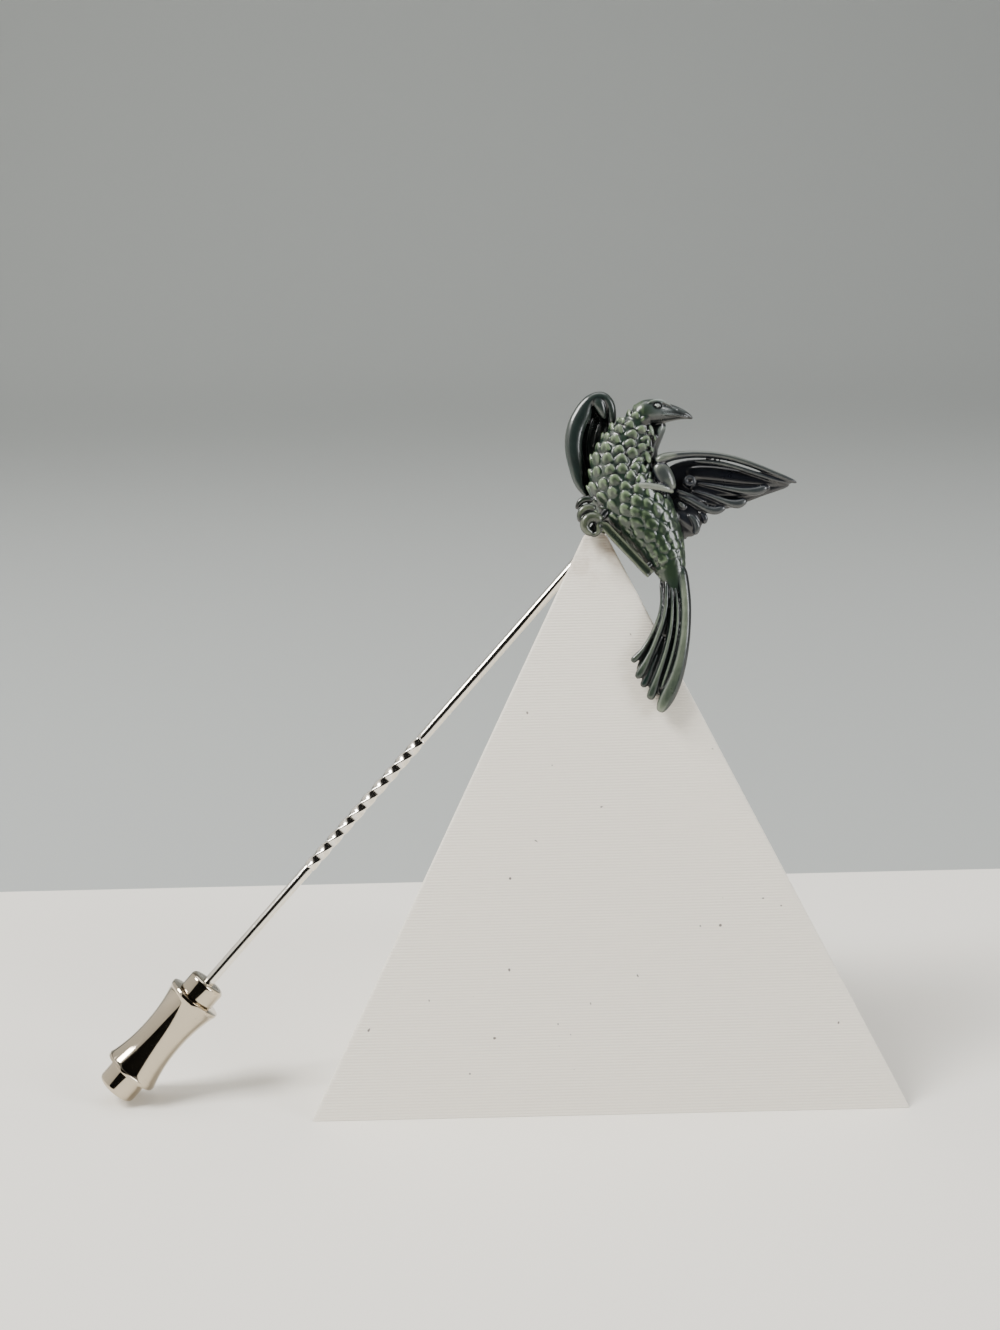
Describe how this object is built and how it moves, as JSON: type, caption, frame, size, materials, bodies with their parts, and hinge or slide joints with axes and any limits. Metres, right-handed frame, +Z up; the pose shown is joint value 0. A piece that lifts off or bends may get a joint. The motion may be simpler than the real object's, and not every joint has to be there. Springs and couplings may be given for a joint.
{
  "type": "stick pin on display stand",
  "caption": "Enamelled bird stick pin with a part-twisted stem and slide-off spool clutch, hung on a plain three-sided pyramid stand.",
  "frame": {"origin": "centre of the stand's underside", "axes": "+Z up, the stand's front face looks along -Y, +X to the right seen from the front"},
  "size_m": [0.0597, 0.0376, 0.0514],
  "materials": {
    "enamel": "sage green enamel wash over dark antiqued cast metal, glossy",
    "polished_metal": "polished nickel plate",
    "printed_plastic": "off-white 3-D printed plastic with fine layer lines"
  },
  "bodies": {
    "pin_and_stand": {"bird_pin": "enamel", "display_stand": "printed_plastic"},
    "clutch": {"clutch_core": "polished_metal"},
    "sleeve": {"clutch_sleeve": "polished_metal"}
  },
  "joints": [
    {"name": "clutch_slide", "type": "slide", "parent": "pin_and_stand", "child": "clutch", "axis": [-0.6752, -0.1972, -0.7107], "range_m": [0, 0.0096]},
    {"name": "sleeve_slide", "type": "slide", "parent": "clutch", "child": "sleeve", "axis": [-0.6752, -0.1972, -0.7107], "range_m": [0, 0.0008], "stiffness_N_per_m": 200, "springref_m": -0.001}
  ]
}
